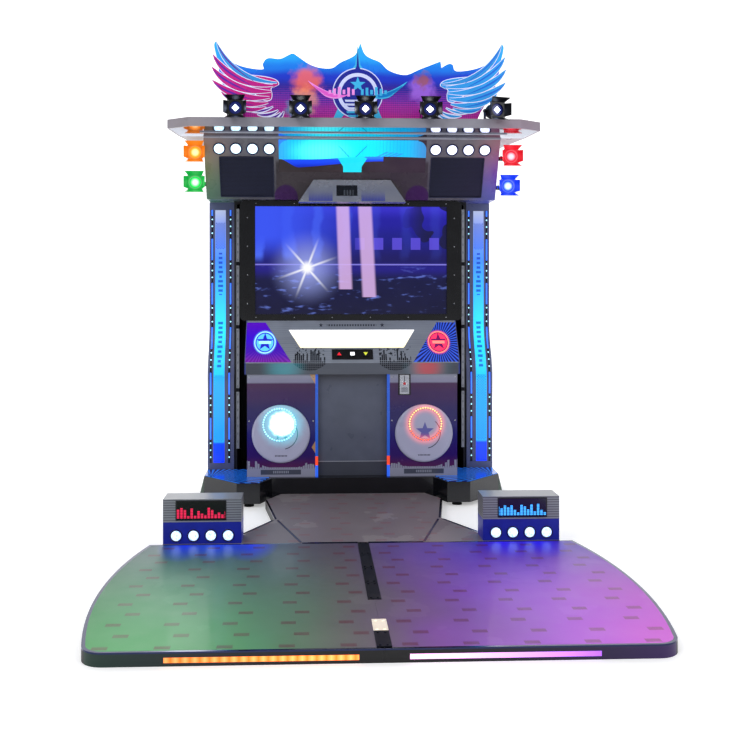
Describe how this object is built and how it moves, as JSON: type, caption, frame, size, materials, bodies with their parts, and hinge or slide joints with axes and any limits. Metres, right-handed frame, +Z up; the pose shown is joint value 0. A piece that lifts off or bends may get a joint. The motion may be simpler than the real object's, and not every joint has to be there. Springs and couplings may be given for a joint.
{
  "type": "dance rhythm machine",
  "caption": "Dance rhythm arcade machine: tall cabinet with screen, lit columns, leaning header and canopy with stage lamps, and a low barrel-sided dance stage.",
  "frame": {"origin": "centre of the whole machine's bounding box, on the floor", "axes": "+Z up, +X to the player's right when facing the screen, the stage lies towards -Y and the cabinet's back towards +Y"},
  "size_m": [2.2396, 3.177, 2.716],
  "materials": {
    "black_board": "satin black laminate",
    "black_frame": "satin black moulding",
    "foot_rubber": "black rubber",
    "blue_print": "gloss printed sheet",
    "grey_green_metal": "grey-green paint",
    "dark_board": "dark painted board",
    "dark_metal": "dark powder coat",
    "grey_board": "grey painted board",
    "lit_panel": "lit translucent acrylic with print",
    "led_strip": "LED strip under clear cover",
    "silver_metal": "brushed silver",
    "screen": "display glass, lit",
    "silver_board": "brushed silver laminate",
    "black_metal": "gloss black",
    "button_red": "lit translucent red",
    "button_white": "lit translucent white",
    "button_yellow": "lit translucent yellow",
    "purple_board": "printed film on board",
    "white_disc": "white gloss moulding",
    "led_ring": "pale ring board carrying single LEDs",
    "speaker": "black paper cone and basket",
    "coin_steel": "brushed stainless steel",
    "coin_red": "red plastic",
    "grey_panel": "grey moulded panel",
    "blue_grille": "dark blue perforated steel",
    "lamp_white": "lit LED lamp in a dark blue bezel",
    "dark_plastic": "dark smoked plastic",
    "mirror_panel": "mirror acrylic",
    "printed_board": "printed foam board",
    "floor_box_board": "grey and dark blue moulded housing",
    "stage_board": "black painted plywood",
    "deck_film": "printed non-slip film",
    "chrome_trim": "polished edge trim",
    "led_bar": "lit LED bar",
    "dark_steel": "dark steel plate",
    "computer_metal": "black sheet-metal case",
    "lamp_black": "black powder coat"
  },
  "bodies": {
    "cabinet": {"base_plinth": "black_board", "tv_bezel": "black_frame", "tv_set": "black_frame", "levelling_feet": "foot_rubber", "plinth_top_panels": "blue_print", "side_skirts": "grey_green_metal", "cabinet_carcass": "dark_board", "column_frames": "grey_board", "header_shell": "grey_board", "canopy_shell": "grey_board", "column_light_panels": "lit_panel", "header_lightbox": "lit_panel", "led_strips": "led_strip", "tv_rails": "silver_metal", "screen_glass": "screen", "console_shell": "silver_board", "console_lights": "lit_panel", "button_plate": "black_metal", "bass_boxes": "purple_board", "bass_discs": "white_disc", "bass_led_rings": "led_ring", "speaker_drivers": "speaker", "coin_plate": "coin_steel", "centre_panel": "grey_panel", "speaker_grilles": "blue_grille", "header_lamps": "lamp_white", "floor_box_lamps": "lamp_white", "sensor_hood": "silver_metal", "motion_sensor": "dark_plastic", "canopy_mirror": "mirror_panel", "marquee_board": "printed_board", "floor_boxes": "floor_box_board", "stage_frame": "stage_board", "stage_deck": "deck_film", "neck_deck": "deck_film", "stage_trim": "chrome_trim", "stage_led_bars": "led_bar", "joint_plates": "dark_steel", "electronics": "computer_metal", "side_lamp_brackets": "lamp_black"},
    "stage_lamp_yoke_1": {"stage_lamp_yoke_1": "lamp_black"},
    "stage_lamp_head_1": {"stage_lamp_head_1": "lamp_black"},
    "stage_lamp_yoke_2": {"stage_lamp_yoke_2": "lamp_black"},
    "stage_lamp_head_2": {"stage_lamp_head_2": "lamp_black"},
    "stage_lamp_yoke_3": {"stage_lamp_yoke_3": "lamp_black"},
    "stage_lamp_head_3": {"stage_lamp_head_3": "lamp_black"},
    "stage_lamp_yoke_4": {"stage_lamp_yoke_4": "lamp_black"},
    "stage_lamp_head_4": {"stage_lamp_head_4": "lamp_black"},
    "stage_lamp_yoke_5": {"stage_lamp_yoke_5": "lamp_black"},
    "stage_lamp_head_5": {"stage_lamp_head_5": "lamp_black"},
    "side_lamp_head_1": {"side_lamp_head_1": "lamp_black"},
    "side_lamp_head_2": {"side_lamp_head_2": "lamp_black"},
    "side_lamp_head_3": {"side_lamp_head_3": "lamp_black"},
    "side_lamp_head_4": {"side_lamp_head_4": "lamp_black"},
    "rear_door": {"rear_door": "dark_metal"},
    "button_up": {"button_up": "button_red"},
    "button_select": {"button_select": "button_white"},
    "button_down": {"button_down": "button_yellow"},
    "coin_return_button": {"coin_return_button": "coin_red"},
    "coin_return_flap": {"coin_return_flap": "coin_steel"}
  },
  "joints": [
    {"name": "stage_lamp_pan_1", "type": "hinge", "parent": "cabinet", "child": "stage_lamp_yoke_1", "pos_m": [-0.676, 0.5265, 2.256], "axis": [0, 0, 1], "range_deg": [-20, 20]},
    {"name": "stage_lamp_tilt_1", "type": "hinge", "parent": "stage_lamp_yoke_1", "child": "stage_lamp_head_1", "pos_m": [-0.676, 0.5265, 2.303], "axis": [1, 0, 0], "range_deg": [-20, 8]},
    {"name": "stage_lamp_pan_2", "type": "hinge", "parent": "cabinet", "child": "stage_lamp_yoke_2", "pos_m": [-0.312, 0.5265, 2.256], "axis": [0, 0, 1], "range_deg": [-20, 20]},
    {"name": "stage_lamp_tilt_2", "type": "hinge", "parent": "stage_lamp_yoke_2", "child": "stage_lamp_head_2", "pos_m": [-0.312, 0.5265, 2.303], "axis": [1, 0, 0], "range_deg": [-20, 8]},
    {"name": "stage_lamp_pan_3", "type": "hinge", "parent": "cabinet", "child": "stage_lamp_yoke_3", "pos_m": [0.052, 0.5265, 2.256], "axis": [0, 0, 1], "range_deg": [-20, 20]},
    {"name": "stage_lamp_tilt_3", "type": "hinge", "parent": "stage_lamp_yoke_3", "child": "stage_lamp_head_3", "pos_m": [0.052, 0.5265, 2.303], "axis": [1, 0, 0], "range_deg": [-20, 8]},
    {"name": "stage_lamp_pan_4", "type": "hinge", "parent": "cabinet", "child": "stage_lamp_yoke_4", "pos_m": [0.416, 0.5265, 2.256], "axis": [0, 0, 1], "range_deg": [-20, 20]},
    {"name": "stage_lamp_tilt_4", "type": "hinge", "parent": "stage_lamp_yoke_4", "child": "stage_lamp_head_4", "pos_m": [0.416, 0.5265, 2.303], "axis": [1, 0, 0], "range_deg": [-20, 8]},
    {"name": "stage_lamp_pan_5", "type": "hinge", "parent": "cabinet", "child": "stage_lamp_yoke_5", "pos_m": [0.78, 0.5265, 2.256], "axis": [0, 0, 1], "range_deg": [-38, 2]},
    {"name": "stage_lamp_tilt_5", "type": "hinge", "parent": "stage_lamp_yoke_5", "child": "stage_lamp_head_5", "pos_m": [0.78, 0.5265, 2.303], "axis": [0.9511, 0.309, 0], "range_deg": [-20, 8]},
    {"name": "side_lamp_tilt_1", "type": "hinge", "parent": "cabinet", "child": "side_lamp_head_1", "pos_m": [-0.956, 0.9965, 2.12], "axis": [1, 0, 0], "range_deg": [-6, 20]},
    {"name": "side_lamp_tilt_2", "type": "hinge", "parent": "cabinet", "child": "side_lamp_head_2", "pos_m": [-0.956, 0.9965, 1.938], "axis": [1, 0, 0], "range_deg": [-6, 20]},
    {"name": "side_lamp_tilt_3", "type": "hinge", "parent": "cabinet", "child": "side_lamp_head_3", "pos_m": [0.975, 0.9965, 2.106], "axis": [1, 0, 0], "range_deg": [-6, 20]},
    {"name": "side_lamp_tilt_4", "type": "hinge", "parent": "cabinet", "child": "side_lamp_head_4", "pos_m": [0.956, 0.9965, 1.924], "axis": [1, 0, 0], "range_deg": [-6, 20]},
    {"name": "rear_door_hinge", "type": "hinge", "parent": "cabinet", "child": "rear_door", "pos_m": [0.452, 1.5855, 0.9], "axis": [0, 0, -1], "range_deg": [0, 110]},
    {"name": "button_up_press", "type": "slide", "parent": "cabinet", "child": "button_up", "axis": [0, 0.8145, -0.5802], "range_m": [0, 0.003], "stiffness_N_per_m": 400, "springref_m": -0.002},
    {"name": "button_select_press", "type": "slide", "parent": "cabinet", "child": "button_select", "axis": [0, 0.8145, -0.5802], "range_m": [0, 0.003], "stiffness_N_per_m": 400, "springref_m": -0.002},
    {"name": "button_down_press", "type": "slide", "parent": "cabinet", "child": "button_down", "axis": [0, 0.8145, -0.5802], "range_m": [0, 0.003], "stiffness_N_per_m": 400, "springref_m": -0.002},
    {"name": "coin_return_press", "type": "slide", "parent": "cabinet", "child": "coin_return_button", "axis": [0, 1, 0], "range_m": [0, 0.003], "stiffness_N_per_m": 300, "springref_m": -0.002},
    {"name": "coin_return_flap_hinge", "type": "hinge", "parent": "cabinet", "child": "coin_return_flap", "pos_m": [0.3175, 0.9424, 0.6857], "axis": [1, 0, 0], "range_deg": [0, 45]}
  ]
}
